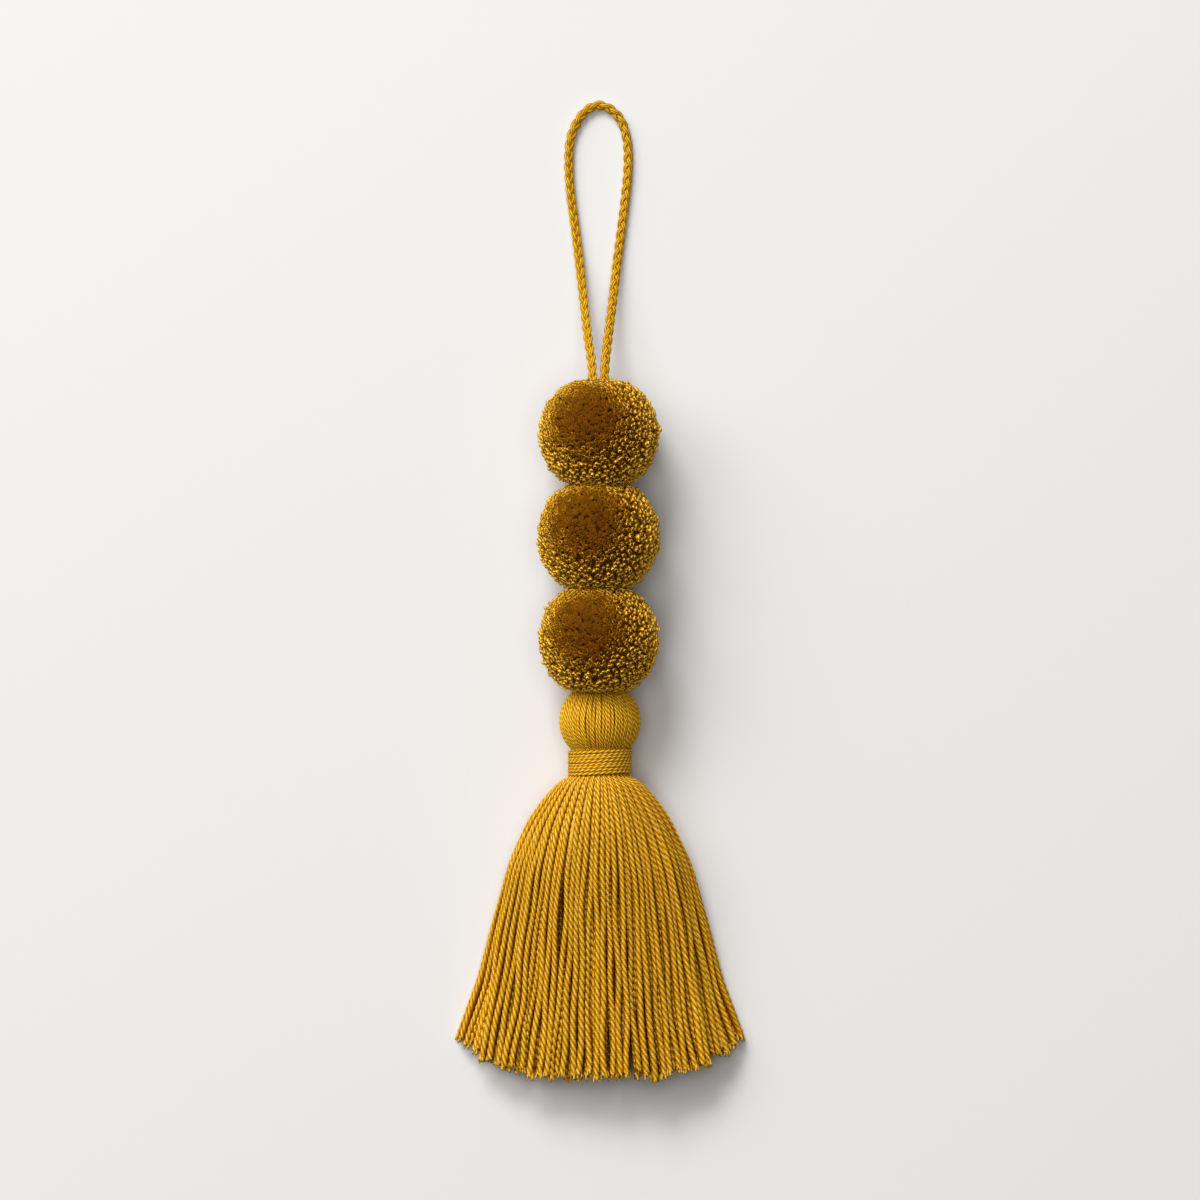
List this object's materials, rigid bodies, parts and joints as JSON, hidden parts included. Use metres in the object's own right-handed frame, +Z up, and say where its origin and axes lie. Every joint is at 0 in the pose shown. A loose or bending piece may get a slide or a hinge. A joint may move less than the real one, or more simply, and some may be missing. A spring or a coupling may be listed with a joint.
{
  "type": "pom pom tassel charm",
  "caption": "Yarn charm with a braided hanging loop, stacked pompoms and a tassel with a round head, a wound neck and a fanned skirt, lying on its back.",
  "frame": {"origin": "bottom centre of the pompoms and the tassel as they lie, without the hanging loop", "axes": "+Y runs from the skirt's cut ends toward the hanging loop, +X across the charm and +Z up from the surface it lies on"},
  "size_m": [0.0876, 0.3002, 0.0368],
  "materials": {
    "loop_cord": "braided mustard yarn cord",
    "pompom_yarn": "cut mustard yarn pile",
    "tassel_yarn": "plied mustard yarn strands",
    "wrap_yarn": "wound mustard yarn"
  },
  "bodies": {
    "root": {"hanging_loop": "loop_cord", "pompom_top": "pompom_yarn", "pompom_middle": "pompom_yarn", "pompom_bottom": "pompom_yarn", "tassel": "tassel_yarn", "neck_wrap": "wrap_yarn"}
  },
  "joints": []
}
